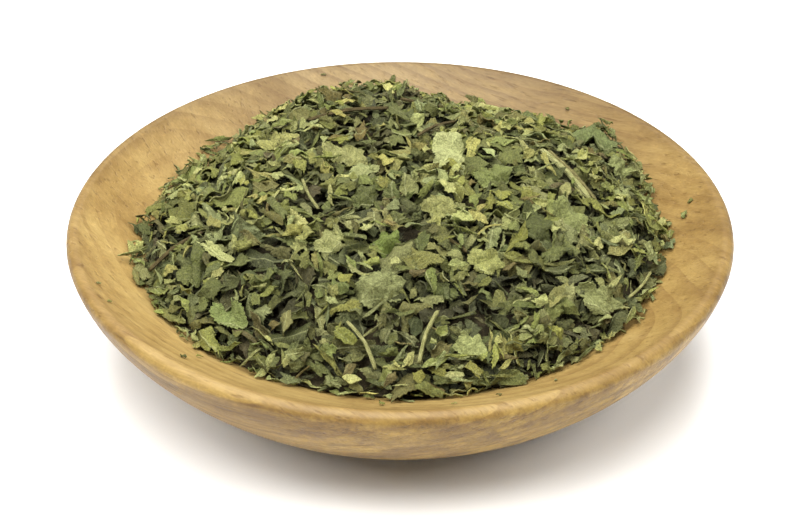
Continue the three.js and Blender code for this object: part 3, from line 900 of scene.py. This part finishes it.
class Heap:
    """The loose flakes, which come to rest on one another one by one."""

    def __init__(self, larger_pieces):
        self.rng = np.random.default_rng(HEAP_SEED)
        self.grid = Heights(MAP_HALF)
        self.gathered = {}
        grid = self.grid
        hollow = self.hollow = hollow_height(grid.radius)
        self.edge = self.uneven_edge()
        inside = grid.radius < self.edge
        smooth_form = heap_height(grid.x, grid.y)
        target = np.where(inside, np.maximum(self.uneven_form(smooth_form), hollow + LEAST_COVER), hollow)
        self.ground = np.maximum(hollow, np.where(inside, smooth_form - LOOSE_DEPTH, hollow))

        under_pieces = cad_under_sides(grid, larger_pieces)
        sunk = under_pieces < smooth_form - SUNK_DEPTH
        self.below_pieces = np.where(sunk, np.inf, under_pieces - PIECE_GAP)
        over_heap = np.maximum(target, hollow) + HEADROOM
        near = grid.radius < self.edge + EDGE_SPREAD
        self.ceiling = self.capped(np.where(near, over_heap, hollow + WALL_HEADROOM))
        beside_pieces = smoothed(np.isfinite(under_pieces).astype(float), 3) > 0.05
        self.target = target - np.where(beside_pieces & inside, BESIDE_PIECES, 0.0)

    def uneven_edge(self):
        """How far the heap reaches out at each cell's angle."""
        rng = self.rng
        angle = np.arctan2(self.grid.y, self.grid.x)
        waves = sum(rng.uniform(0.2, 0.6) * np.sin(k * angle + rng.uniform(*PHASES)) for k in EDGE_WAVES)
        return heap_radius(angle) + waves

    def uneven_form(self, smooth_form):
        """How high the heap is meant to end up over each cell, with lumps, dips and gaps."""
        rng, grid = self.rng, self.grid
        lumps = smoothed(rng.normal(size=grid.x.shape), 5)
        dips = np.minimum(smoothed(rng.normal(size=grid.x.shape), 4), 0.0)
        uneven = lumps / lumps.std() * 0.95 + dips / dips.std() * 1.3
        form = smooth_form - 0.4 + np.maximum(uneven, -3.2)
        for x, y, spread, depth in HOLLOWS:
            form -= depth * np.exp(-((grid.x - x) ** 2 + (grid.y - y) ** 2) / (2 * spread ** 2))
        return form

    def capped(self, ceiling):
        """A ceiling that also keeps flakes under the larger pieces that lie on the heap."""
        return np.minimum(np.minimum(ceiling, HIGHEST), self.below_pieces)

    def turned_lowest(self, middle, x, y, normal, tilt):
        """Tries several ways to lie at x, y and returns the one that lies lowest."""
        rng, tries = self.rng, WAYS_TO_LIE
        spin = turn_about(np.tile([0.0, 0.0, 1.0], (tries, 1)), rng.uniform(0, 2 * math.pi, tries))
        flip = np.where(rng.random(tries) < 0.5, 1.0, -1.0)
        heading = rng.uniform(0, 2 * math.pi, tries)
        level = np.stack([np.cos(heading), np.sin(heading), np.zeros(tries)], 1)
        lean = turn_about(level, np.full(tries, tilt))
        axis = np.cross([0.0, 0.0, 1.0], normal) + [1e-9, 0.0, 0.0]
        slope = turn_about(axis[None], np.array([math.acos(min(1.0, normal[2]))]))[0]
        turn = slope @ lean @ spin
        turn[:, :, 1:] *= flip[:, None, None]
        placed = np.einsum("kij,pj->kpi", turn, middle)
        i, j = self.grid.cells(placed[..., 0] + x, placed[..., 1] + y)
        height = (self.ground[i, j] - placed[..., 2]).mean(1)
        best = int(np.argmin(height + 0.5 * placed[..., 2].max(1)))
        return placed[best]

    def settle(self, placed, sheet, x, y, sunk, ceiling):
        """Lowers a shape onto the ground and returns where it lies, or None if it would not fit."""
        corners = placed[sheet.top]
        samples = np.concatenate([np.einsum("sk,tkd->tsd", IN_TRIANGLE, corners).reshape(-1, 3), placed])
        i, j = self.grid.cells(samples[:, 0] + x, samples[:, 1] + y)
        clear = self.ground[i, j] - samples[:, 2]
        highest = (ceiling[i, j] - samples[:, 2]).min() - FLAKE_THICKNESS
        height = min(np.quantile(clear, sunk) + 0.5 * FLAKE_THICKNESS, highest)
        height = max(height, (self.hollow[i, j] - samples[:, 2]).max() + FLAKE_THICKNESS)
        if height > highest or height < np.quantile(clear, 0.85):
            return None
        top = samples[:, 2] + height + 0.5 * FLAKE_THICKNESS
        np.maximum.at(self.ground, (i, j), top)
        return placed + [x, y, height]

    def gather(self, name, sheet, lying, flat, tint, under):
        if name not in self.gathered:
            self.gathered[name] = Gathered(name)
        self.gathered[name].add(sheet, thickened(sheet, lying, FLAKE_THICKNESS), flat, tint, under)

    def add_fringe(self, number, sorts, reach, lean, highest):
        """Flakes along the heap's edge, lying on the bowl's wall or on other flakes: their reach is in
        millimetres beyond the edge and their lean in degrees."""
        rng = self.rng
        ceiling = self.capped(highest)
        for _ in range(number):
            sheet, middle, flat = make_flake(rng, sorts[int(rng.integers(len(sorts)))])
            heading = rng.uniform(0, 2 * math.pi)
            cell = self.grid.cells(EDGE_PROBE * np.cos([heading]), EDGE_PROBE * np.sin([heading]))
            far = self.edge[cell][0] + rng.uniform(*reach)
            x, y = far * math.cos(heading), far * math.sin(heading)
            inwards, upwards = WALL_NORMAL
            normal = np.array([-inwards * math.cos(heading), -inwards * math.sin(heading), upwards])
            tilt = math.radians(min(rng.uniform(*lean), STEEPEST))
            placed = self.turned_lowest(middle, x, y, normal / np.linalg.norm(normal), tilt)
            lying = self.settle(placed, sheet, x, y, 1.0, ceiling)
            if lying is None:
                continue
            family = FAMILIES[int(rng.choice(3, p=FRINGE_SHARES))]
            tint, under = flake_tint(rng, family)
            self.gather(f"parsley_{family}_small", sheet, lying, flat, tint * FRINGE_SHADE, under)

    def roomy_place(self, depth, avoided):
        """The roomiest of many places on the heap and the cells near it, or None if all of them are full."""
        part = np.sqrt(self.rng.random(SPARE_PLACES)) * 0.995
        heading = self.rng.uniform(0, 2 * math.pi, SPARE_PLACES)
        far = heap_radius(heading) * part
        xs, ys = far * np.cos(heading), far * np.sin(heading)
        i, j = self.grid.cells(xs, ys)
        room = np.minimum(self.target[i, j], self.ceiling[i, j]) - depth - self.ground[i, j] - avoided[i, j]
        pick = int(np.argmax(room))
        if room[pick] < -0.2:
            return None
        near = slice(i[pick] - 1, i[pick] + 2), slice(j[pick] - 1, j[pick] + 2)
        return xs[pick], ys[pick], near

    def lay(self, sheet, middle, depth, ceiling, avoided):
        """Lets a flake come to rest on the heap and returns where it lies and its x and y, or None."""
        rng = self.rng
        for _ in range(PLACE_TRIES):
            place = self.roomy_place(depth, avoided)
            if place is None:
                continue
            x, y, near = place
            tilt = math.radians(min(abs(rng.normal(10.0, 34.0)), STEEPEST))
            placed = self.turned_lowest(middle, x, y, heap_normal(x, y), tilt)
            lying = self.settle(placed, sheet, x, y, rng.uniform(0.97, 1.0), ceiling)
            if lying is not None:
                return lying, x, y
            avoided[near] += 0.4
        return None

    def add_layer(self, layer):
        rng, on_top = self.rng, layer.depth == 0.0
        shares = np.array([sort.share for sort in layer.sorts])
        avoided = np.zeros_like(self.ground)
        layer_top = np.maximum(self.target - layer.depth + 1.0, self.hollow + 1.2)
        ceiling = self.ceiling if on_top else np.minimum(self.ceiling, layer_top)
        for _ in range(layer.most):
            sort = layer.sorts[int(rng.choice(len(layer.sorts), p=shares / shares.sum()))]
            sheet, middle, flat = make_flake(rng, sort)
            laid = self.lay(sheet, middle, layer.depth, ceiling, avoided)
            if laid is None:
                continue
            lying, x, y = laid
            family = FAMILIES[int(rng.choice(3, p=layer.shares))]
            tint, under = flake_tint(rng, "brown" if rng.random() < BROWN_SHARE else family)
            # Painted light and shade: a flake painted lighter the higher it stands over the heap, darker low
            # in front, and the deep layers darker and browner.
            above = lying[:, 2].mean() - heap_height(x, y)
            raised = np.clip((above + 1.0) / 2.0, -1.0, 1.0) if on_top else 0.0
            hue = TOP_HUE if on_top else DEEP_PAINTED_SHADE_HUE
            low = np.clip((-y - 2.0) / 22.0, 0.0, 1.0)
            light = np.array(hue) * layer.light * (1.0 + RAISED_PAINTED_LIGHT * raised) * (1.0 - LOW_FRONT_PAINTED_SHADE * low)
            shade = np.append(light, 1.0)
            size = "large" if sheet is LARGE else "small"
            name = f"parsley_{family}_{size if on_top else 'deep'}"
            self.gather(name, sheet, lying, flat, tint * shade, under * shade)

    def make(self):
        for name, flakes in self.gathered.items():
            family = name.split("_")[1]
            piece = flakes.make(leaf_material("leaf_" + family, roughness=0.68))
            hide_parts("parsley_heap")


def add_loose_flakes(larger_pieces):
    heap = Heap(larger_pieces)
    hollow = heap.hollow
    heap.add_fringe(FOOT_FLAKES, FOOT_SORTS, reach=(-3.5, -0.2), lean=(0, 40), highest=hollow + 2.2)
    heap.add_fringe(CRUMBS, CRUMB_SORTS, reach=(2.0, 11.0), lean=(0, 15), highest=hollow + 1.5)
    for layer in LAYERS:
        heap.add_layer(layer)
    near_edge = np.abs(heap.grid.radius - heap.edge) < 6.0
    highest = np.where(near_edge, np.maximum(heap.target, hollow) + 4.5, hollow)
    heap.add_fringe(EDGE_TIPS, TIP_SORTS, reach=(-7.0, -2.0), lean=(0, 90), highest=highest)
    heap.make()


# ---- the larger leaves and stalks that the CAD gives a place of their own ----

CAD_SHEET_THICKNESS = 0.7
FINE_THICKNESS = 0.22
SAME = 0.003  # how far apart two places can be and still be taken as one


def cad_points(name):
    """A CAD solid's own corners, each once, in millimetres."""
    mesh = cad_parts[name].data
    return np.unique(np.round([tuple(v.co / MM) for v in mesh.vertices], 4), axis=0)


def cad_leaf(name):
    """The middle, the way up and the edge of a CAD leaf, halfway between its two sides."""
    points = cad_points(name)
    apart = points[:, None] - points[None]
    far = np.linalg.norm(apart, axis=2)
    pairs = apart[np.abs(far - CAD_SHEET_THICKNESS) < SAME]
    best = max(pairs, key=lambda d: int((np.abs(apart - d).max(2) < SAME).sum()))
    up = best / np.linalg.norm(best) * (1 if best[2] > 0 else -1)
    shift = up * CAD_SHEET_THICKNESS
    middles = np.array([p + shift / 2 for p in points if np.abs(points - p - shift).max(1).min() < SAME])
    level = middles - middles.mean(0)
    flat = level - (level @ up)[:, None] * up
    hub = int(np.argmin(np.linalg.norm(flat, axis=1)))
    middle = middles[hub]
    edge = np.delete(middles, hub, 0) - middle
    return middle, up, edge


def cad_under_sides(grid, names):
    """How low the CAD's larger pieces reach over each cell, and infinity where there are none."""
    result = np.full((grid.count, grid.count), np.inf)
    for name in names:
        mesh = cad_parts[name].data
        tree = BVHTree.FromPolygons([v.co / MM for v in mesh.vertices], [p.vertices for p in mesh.polygons])
        low, high = (np.array(corner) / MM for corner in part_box(name))
        over = (grid.x > low[0]) & (grid.x < high[0]) & (grid.y > low[1]) & (grid.y < high[1])
        for i, j in zip(*np.nonzero(over)):
            hit = tree.ray_cast(Vector((grid.x[i, j], grid.y[i, j], -10.0)), Vector((0.0, 0.0, 1.0)))[0]
            if hit is not None:
                result[i, j] = min(result[i, j], hit.z)
    return result


WHOLE_LEAVES = ["leaf_flake_01", "leaf_flake_08"]
WAVED = {"leaf_flake_08": 2.3, "leaf_flake_01": 0.8}  # how much, where the others have 1
STRIP_LEAVES = ["leaf_flake_01"]
HERO_TINTS = {  # their colour, and how plainly their veins show
    "leaf_flake_01": ((176, 180, 122), 0.9),
    "leaf_flake_02": ((116, 124, 64), 0.7),
    "leaf_flake_03": ((108, 118, 66), 0.7),
    "leaf_flake_04": ((134, 140, 84), 0.7),
    "leaf_flake_05": ((150, 150, 92), 0.9),
    "leaf_flake_06": ((156, 154, 88), 0.9),
    "leaf_flake_08": ((130, 134, 84), 0.45),
    "leaf_flake_09": ((112, 126, 56), 0.6),
    "leaf_flake_10": ((146, 148, 92), 0.8),
    "leaf_flake_13": ((142, 142, 82), 0.9),
    "leaf_flake_14": ((128, 134, 76), 0.8),
    "leaf_flake_15": ((134, 138, 84), 0.9),
    "leaf_flake_16": ((124, 136, 74), 0.8),
    "leaf_flake_17": ((150, 156, 96), 0.8),
    "leaf_flake_18": ((150, 152, 86), 0.8),
}


def strip_reach(turn, half):
    """The outline of a strip with a waist and blunt ends."""
    side = 0.56 * half * (0.84 + 0.16 * np.cos(turn) ** 2)
    return ((np.abs(np.cos(turn)) / half) ** 4 + (np.abs(np.sin(turn)) / side) ** 4) ** -0.25


def torn_reach(rng, name, fine, cad_reach):
    """The CAD's outline made toothed and wavy, with a few notches in most leaves."""
    toothed = np.where(np.arange(FINE.points) % 2 == 1, 1.0 - 0.13 * rng.random(FINE.points), 1.02)
    reach = cad_reach * toothed
    reach = reach * (1.0 + 0.05 * np.sin(7 * fine + rng.uniform(*PHASES)))
    for _ in range(0 if name in WHOLE_LEAVES else 3):
        away = turn_apart(fine, rng.uniform(0, 2 * math.pi))
        reach = reach * (1.0 - rng.uniform(0.1, 0.25) * np.exp(-0.5 * (away / rng.uniform(0.08, 0.2)) ** 2))
    return reach


def wavy_rise(rng, flat, fine, fine_height, size, wave):
    """How far a leaf rises over its own plane: to its edge's height, creased, with waves at its edge."""
    rise = np.concatenate([[0.0], np.tile(fine_height, FINE.rings)]) * FINE.part ** 1.6
    folds = creases(rng, flat[:, 0], flat[:, 1], size, 0.15 * min(wave, 1.5), 6)
    rise = rise + folds - folds.mean()
    around = np.concatenate([[0.0], np.tile(fine, FINE.rings)])
    rise = rise + wave * 0.08 * size * FINE.part ** 3 * np.sin(5 * around + rng.uniform(*PHASES))
    return rise + wave * 0.10 * size * FINE.part ** 2 * np.sin(3 * around + rng.uniform(*PHASES))


def add_large_leaf(name, look, number):
    """A finer leaf in the place of a CAD leaf, toothed and crinkled, with its outline or a strip's."""
    rng = np.random.default_rng(LEAF_SEED + number)
    middle, up, edge = cad_leaf(name)
    first = edge[0] - up * (edge[0] @ up)
    first /= np.linalg.norm(first)
    second = np.cross(up, first)
    u, v, height = edge @ first, edge @ second, edge @ up
    order = np.argsort(np.arctan2(v, u))
    u, v, height = u[order], v[order], height[order]
    # An outline through the CAD's corners, every part of the turn given its own reach and height.
    angle = np.arctan2(v, u)
    reach = np.hypot(u, v)
    fine = np.arange(FINE.points) * 2 * math.pi / FINE.points - math.pi
    tripled = np.concatenate([angle - 2 * math.pi, angle, angle + 2 * math.pi])
    cad_reach = np.interp(fine, tripled, np.tile(reach, 3))
    fine_height = np.interp(fine, tripled, np.tile(height, 3))
    fine_reach = torn_reach(rng, name, fine, cad_reach)
    if name in STRIP_LEAVES:  # standing along the slope
        strip = strip_reach(fine - math.atan2(second[2], first[2]), reach.max())
        fine_reach = strip * (fine_reach / cad_reach) * 0.97
    flat = filled_in(FINE, fine_reach * np.cos(fine), fine_reach * np.sin(fine))
    rise = wavy_rise(rng, flat, fine, fine_height, reach.max(), WAVED.get(name, 1.0))
    placed = middle + flat[:, :1] * first + flat[:, 1:] * second + rise[:, None] * up
    tint, under = flake_tint(rng, look)
    if name in HERO_TINTS:
        color, veins = HERO_TINTS[name]
        tint = under = np.append(linear(*color), veins)
    leaf = Gathered("fine_" + name)
    leaf.add(FINE, thickened(FINE, placed, FINE_THICKNESS), flat, tint, under)
    piece = leaf.make(leaf_material("leaf_" + look + "_large", roughness=0.66))
    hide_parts(name)


def stalk_material(name, colors):
    """Dried stalk: streaks along it from the darkest to the palest of its colours, and darker blotches."""
    n = Nodes(name)
    place = n.add("UVMap", uv_map="leaf").outputs[0]
    streaks = n.noise(n.stretched(place, (0.6, 9.0, 1.0)), 7.0, 4.0, 0.65)
    blotches = n.noise(place, 5.0, 3.0, 0.6)
    base = n.ramp(streaks, [(part, linear(*color)) for part, color in zip((0.40, 0.50, 0.58), colors)])
    n.give(n.shader, "Base Color", n.tinted(base, (0.55, 0.55, 0.42), n.grey(blotches, 0.45, 0.7, 0.0, 0.55)))
    n.give(n.shader, "Roughness", n.grey(streaks, 0.3, 0.7, 0.55, 0.75))
    n.give(n.shader, "Specular IOR Level", 0.2)
    n.give(n.shader, "Normal", n.bump(streaks, 0.8, 0.0005))
    return n.material


STALK_COLORS = {
    "pale": [(84, 87, 46), (134, 133, 78), (182, 179, 126)],
    "brown": [(56, 48, 28), (80, 69, 41), (108, 96, 60)],
}
STALK_TINTS = {
    "stalk_piece_01": [(98, 100, 56), (148, 148, 90), (192, 190, 136)],
    "stalk_piece_02": [(70, 62, 36), (112, 104, 62), (158, 152, 100)],
}
STALK_SHARES = {"stalk_piece_01": 0.85, "stalk_piece_02": 0.75}  # of the CAD stalk's thickness
OTHER_STALKS_SHARE = 0.60
STALK_RIDGES = 16
STALK_RINGS = 18
STALK_FLATNESS = 0.86


def stalk_points(rng, centres, radius):
    """Rings of points round a centreline, ribbed and flattened, with broken ends, and the line itself."""
    steps = np.linspace(0.0, len(centres) - 1.0, STALK_RINGS)
    line = np.stack([np.interp(steps, np.arange(len(centres)), centres[:, k]) for k in range(3)], 1)
    tangent = np.gradient(line, axis=0)
    tangent /= np.linalg.norm(tangent, axis=1, keepdims=True)
    side = np.cross(tangent, [0.0, 0.0, 1.0])
    side /= np.linalg.norm(side, axis=1, keepdims=True)
    over = np.cross(side, tangent)
    angle = np.arange(STALK_RIDGES) * 2 * math.pi / STALK_RIDGES
    ribs = 1.0 + 0.16 * np.cos(angle * 4 + rng.uniform(*PHASES))
    bends = [0, 1, STALK_RINGS - 2, STALK_RINGS - 1]
    taper = np.interp(np.arange(STALK_RINGS), bends, [0.72, 1.0, 0.94, 0.66])
    taper = taper * (1.0 + 0.05 * rng.normal(size=STALK_RINGS))
    across, upward = np.cos(angle)[None, :, None], STALK_FLATNESS * np.sin(angle)[None, :, None]
    around = across * side[:, None] + upward * over[:, None]
    points = line[:, None] + radius * (taper[:, None] * ribs[None])[..., None] * around
    ragged = rng.uniform(-0.5, 0.5, STALK_RIDGES) * radius
    points[0] += ragged[:, None] * tangent[0]
    points[-1] += ragged[::-1, None] * tangent[-1]
    return points, line


def stalk_sides(length):
    """The faces along a stalk and where their corners lie on its two maps."""
    faces, leaf, bake = [], [], []
    for ring in range(STALK_RINGS - 1):
        for k in range(STALK_RIDGES):
            a, b = ring * STALK_RIDGES + k, ring * STALK_RIDGES + (k + 1) % STALK_RIDGES
            faces.append((a, a + STALK_RIDGES, b + STALK_RIDGES, b))
            for r, s in ((ring, k), (ring + 1, k), (ring + 1, k + 1), (ring, k + 1)):
                leaf.append((0.1 * length * r / (STALK_RINGS - 1), s / STALK_RIDGES))
                bake.append((0.05 + 0.9 * r / (STALK_RINGS - 1), 0.05 + 0.7 * s / STALK_RIDGES))
    return faces, leaf, bake


def stalk_end(middle, ring, x):
    """The faces over one end of a stalk and where their corners lie on its maps: round x on the second."""
    faces, leaf, bake = [], [], []
    for k in range(STALK_RIDGES):
        a, b = ring * STALK_RIDGES + k, ring * STALK_RIDGES + (k + 1) % STALK_RIDGES
        faces.append((middle, a, b) if ring == 0 else (middle, b, a))
        offsets = [(0.0, 0.0)]
        for s in ((k, k + 1) if ring == 0 else (k + 1, k)):
            turn = s * 2 * math.pi / STALK_RIDGES
            offsets.append((0.08 * math.cos(turn), 0.08 * math.sin(turn)))
        leaf.extend((0.5 + across, 0.5 + up) for across, up in offsets)
        bake.extend((x + across, 0.88 + up) for across, up in offsets)
    return faces, leaf, bake


def stalk_mesh(name, rng, centres, radius, material):
    """A closed ribbed stalk along a centreline, its ends broken off unevenly."""
    points, line = stalk_points(rng, centres, radius)
    vertices = np.concatenate([points.reshape(-1, 3), [line[0], line[-1]]])
    first_end = len(vertices) - 2
    parts = [stalk_sides(np.linalg.norm(line[-1] - line[0])), stalk_end(first_end, 0, 0.15),
             stalk_end(first_end + 1, STALK_RINGS - 1, 0.45)]
    faces, leaf, bake = (sum(lists, []) for lists in zip(*parts))
    mesh = smooth_mesh(name, vertices * MM, faces, material)
    add_map(mesh, "leaf", leaf)
    add_map(mesh, "OFBake", bake)
    piece = add_object(name, mesh)
    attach(piece, "root")
    return piece


def add_stalk(name, look, number):
    """A ribbed stalk along the middle of the CAD's stalk."""
    points = cad_points(name)
    centre = points.mean(0)
    axis = np.linalg.svd(points - centre)[2][0]
    order = np.argsort((points - centre) @ axis)
    rings = np.array_split(points[order], 5)
    centres = np.array([ring.mean(0) for ring in rings])
    radius = np.mean([np.linalg.norm(ring - ring.mean(0), axis=1).mean() for ring in rings])
    radius *= STALK_SHARES.get(name, OTHER_STALKS_SHARE)
    rng = np.random.default_rng(STALK_SEED + number)
    material = stalk_material("stalk_" + look, STALK_TINTS.get(name, STALK_COLORS[look]))
    piece = stalk_mesh("fine_" + name, rng, centres, radius, material)
    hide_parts(name)


# ---- the scene ----

LEAF_LOOKS = ["pale", "green", "green", "pale", "pale", "pale", "dark", "green", "dark",
              "pale", "dark", "dark", "pale", "green", "green", "green", "pale", "pale"]
STALK_LOOKS = ["pale", "pale", "pale", "pale", "brown", "brown", "brown", "brown", "pale", "pale"]

add_camera()
add_lights()
add_floor()
add_bowl()
add_core()
large_leaves = [f"leaf_flake_{number + 1:02d}" for number in range(len(LEAF_LOOKS))]
stalks = [f"stalk_piece_{number + 1:02d}" for number in range(len(STALK_LOOKS))]
for number, (name, look) in enumerate(zip(large_leaves, LEAF_LOOKS)):
    add_large_leaf(name, look, number)
for number, (name, look) in enumerate(zip(stalks, STALK_LOOKS)):
    add_stalk(name, look, number)
add_loose_flakes(large_leaves + stalks)
